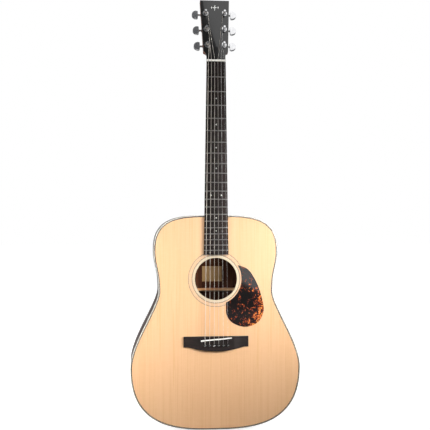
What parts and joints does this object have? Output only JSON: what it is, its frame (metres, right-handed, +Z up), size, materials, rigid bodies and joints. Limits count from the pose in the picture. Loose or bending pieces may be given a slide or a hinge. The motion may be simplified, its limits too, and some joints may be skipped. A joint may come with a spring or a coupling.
{
  "type": "acoustic guitar",
  "caption": "Steel-string acoustic guitar with a round-shouldered bout, slanted saddle, pinned bridge, sealed geared tuners and a hollow braced body.",
  "frame": {"origin": "centre of the strap button's flat outer face, at the tail of the body", "axes": "+Z up the neck towards the headstock, -Y out of the soundboard, +X towards the treble side"},
  "size_m": [0.404, 0.1357, 1.036],
  "materials": {
    "spruce": "gloss-varnished spruce, pale honey with fine straight grain",
    "rosewood": "gloss-varnished dark rosewood with black streaks",
    "mahogany": "satin mahogany",
    "maple": "bare maple",
    "ebony": "oiled ebony, dull dark brown-black",
    "binding": "glossy cream binding",
    "rosette_wood": "pinkish brown inlaid wood ring under gloss",
    "tortoise_plastic": "glossy tortoise-pattern plastic, near black with red mottling",
    "bone": "polished bone, off white",
    "black_veneer": "black gloss lacquer over veneer",
    "black_plastic": "black polished plastic",
    "steel": "bare steel",
    "chrome": "bright chrome plating",
    "wound_bronze": "phosphor bronze wound over steel, silvery brown",
    "plain_steel": "plain polished steel wire",
    "fret_metal": "polished nickel silver",
    "pearl": "mother-of-pearl inlay",
    "label_paper": "blank cream paper label",
    "black_line": "thin black purfling line"
  },
  "bodies": {
    "guitar_body": {"soundboard": "spruce", "back_plate": "rosewood", "side_bass": "rosewood", "side_treble": "rosewood", "top_binding": "binding", "back_binding": "binding", "top_lining": "spruce", "back_lining": "spruce", "neck_block": "mahogany", "tail_block": "mahogany", "x_brace_bass": "spruce", "x_brace_treble": "spruce", "tone_bar": "spruce", "transverse_brace": "spruce", "bridge_plate": "maple", "back_brace_upper": "spruce", "back_brace_middle": "spruce", "back_brace_lower": "spruce", "bridge": "ebony", "saddle": "bone", "rosette": "rosette_wood", "soundhole_binding": "binding", "pickguard": "tortoise_plastic", "neck": "mahogany", "truss_rod": "steel", "fretboard": "ebony", "nut": "bone", "headstock_veneer": "black_veneer", "strap_button": "black_plastic", "string_low_e": "wound_bronze", "string_a": "wound_bronze", "string_d": "wound_bronze", "string_g": "wound_bronze", "string_b": "plain_steel", "string_high_e": "plain_steel", "tuner_housing_low_e": "chrome", "tuner_housing_a": "chrome", "tuner_housing_d": "chrome", "tuner_housing_g": "chrome", "tuner_housing_b": "chrome", "tuner_housing_high_e": "chrome"},
    "truss_rod_nut": {"truss_rod_nut": "steel"},
    "tuner_knob_low_e": {"tuner_knob_low_e": "chrome"},
    "tuner_post_low_e": {"tuner_post_low_e": "chrome"},
    "tuner_knob_a": {"tuner_knob_a": "chrome"},
    "tuner_post_a": {"tuner_post_a": "chrome"},
    "tuner_knob_d": {"tuner_knob_d": "chrome"},
    "tuner_post_d": {"tuner_post_d": "chrome"},
    "tuner_knob_g": {"tuner_knob_g": "chrome"},
    "tuner_post_g": {"tuner_post_g": "chrome"},
    "tuner_knob_b": {"tuner_knob_b": "chrome"},
    "tuner_post_b": {"tuner_post_b": "chrome"},
    "tuner_knob_high_e": {"tuner_knob_high_e": "chrome"},
    "tuner_post_high_e": {"tuner_post_high_e": "chrome"},
    "bridge_pin_low_e": {"bridge_pin_low_e": "black_plastic"},
    "bridge_pin_a": {"bridge_pin_a": "black_plastic"},
    "bridge_pin_d": {"bridge_pin_d": "black_plastic"},
    "bridge_pin_g": {"bridge_pin_g": "black_plastic"},
    "bridge_pin_b": {"bridge_pin_b": "black_plastic"},
    "bridge_pin_high_e": {"bridge_pin_high_e": "black_plastic"}
  },
  "joints": [
    {"name": "truss_rod_nut_turn", "type": "hinge", "parent": "guitar_body", "child": "truss_rod_nut", "pos_m": [0, -0.053, 0.4475], "axis": [0, 0, 1], "range_deg": [-180, 180]},
    {"name": "tuner_knob_low_e_turn", "type": "hinge", "parent": "guitar_body", "child": "tuner_knob_low_e", "pos_m": [-0.0194, -0.02945, 0.92369], "axis": [1, 0, 0], "continuous": true},
    {"name": "tuner_post_low_e_turn", "type": "hinge", "parent": "guitar_body", "child": "tuner_post_low_e", "pos_m": [-0.0194, -0.05195, 0.92229], "axis": [0, -0.9703, 0.2419], "continuous": true},
    {"name": "tuner_knob_a_turn", "type": "hinge", "parent": "guitar_body", "child": "tuner_knob_a", "pos_m": [-0.021, -0.01948, 0.96366], "axis": [1, 0, 0], "continuous": true},
    {"name": "tuner_post_a_turn", "type": "hinge", "parent": "guitar_body", "child": "tuner_post_a", "pos_m": [-0.021, -0.04199, 0.96227], "axis": [0, -0.9703, 0.2419], "continuous": true},
    {"name": "tuner_knob_d_turn", "type": "hinge", "parent": "guitar_body", "child": "tuner_knob_d", "pos_m": [-0.0226, -0.00951, 1.00364], "axis": [1, 0, 0], "continuous": true},
    {"name": "tuner_post_d_turn", "type": "hinge", "parent": "guitar_body", "child": "tuner_post_d", "pos_m": [-0.0226, -0.03202, 1.00224], "axis": [0, -0.9703, 0.2419], "continuous": true},
    {"name": "tuner_knob_g_turn", "type": "hinge", "parent": "guitar_body", "child": "tuner_knob_g", "pos_m": [0.0226, -0.00951, 1.00364], "axis": [1, 0, 0], "continuous": true},
    {"name": "tuner_post_g_turn", "type": "hinge", "parent": "guitar_body", "child": "tuner_post_g", "pos_m": [0.0226, -0.03202, 1.00224], "axis": [0, -0.9703, 0.2419], "continuous": true},
    {"name": "tuner_knob_b_turn", "type": "hinge", "parent": "guitar_body", "child": "tuner_knob_b", "pos_m": [0.021, -0.01948, 0.96366], "axis": [1, 0, 0], "continuous": true},
    {"name": "tuner_post_b_turn", "type": "hinge", "parent": "guitar_body", "child": "tuner_post_b", "pos_m": [0.021, -0.04199, 0.96227], "axis": [0, -0.9703, 0.2419], "continuous": true},
    {"name": "tuner_knob_high_e_turn", "type": "hinge", "parent": "guitar_body", "child": "tuner_knob_high_e", "pos_m": [0.0194, -0.02945, 0.92369], "axis": [1, 0, 0], "continuous": true},
    {"name": "tuner_post_high_e_turn", "type": "hinge", "parent": "guitar_body", "child": "tuner_post_high_e", "pos_m": [0.0194, -0.05195, 0.92229], "axis": [0, -0.9703, 0.2419], "continuous": true},
    {"name": "bridge_pin_low_e_pull", "type": "slide", "parent": "guitar_body", "child": "bridge_pin_low_e", "axis": [0, -1, 0], "range_m": [0, 0.03]},
    {"name": "bridge_pin_a_pull", "type": "slide", "parent": "guitar_body", "child": "bridge_pin_a", "axis": [0, -1, 0], "range_m": [0, 0.03]},
    {"name": "bridge_pin_d_pull", "type": "slide", "parent": "guitar_body", "child": "bridge_pin_d", "axis": [0, -1, 0], "range_m": [0, 0.03]},
    {"name": "bridge_pin_g_pull", "type": "slide", "parent": "guitar_body", "child": "bridge_pin_g", "axis": [0, -1, 0], "range_m": [0, 0.03]},
    {"name": "bridge_pin_b_pull", "type": "slide", "parent": "guitar_body", "child": "bridge_pin_b", "axis": [0, -1, 0], "range_m": [0, 0.03]},
    {"name": "bridge_pin_high_e_pull", "type": "slide", "parent": "guitar_body", "child": "bridge_pin_high_e", "axis": [0, -1, 0], "range_m": [0, 0.03]}
  ],
  "couplings": [
    {"joint": "tuner_post_low_e_turn", "follows": "tuner_knob_low_e_turn", "ratio": -0.071429},
    {"joint": "tuner_post_a_turn", "follows": "tuner_knob_a_turn", "ratio": -0.071429},
    {"joint": "tuner_post_d_turn", "follows": "tuner_knob_d_turn", "ratio": -0.071429},
    {"joint": "tuner_post_g_turn", "follows": "tuner_knob_g_turn", "ratio": 0.071429},
    {"joint": "tuner_post_b_turn", "follows": "tuner_knob_b_turn", "ratio": 0.071429},
    {"joint": "tuner_post_high_e_turn", "follows": "tuner_knob_high_e_turn", "ratio": 0.071429}
  ]
}
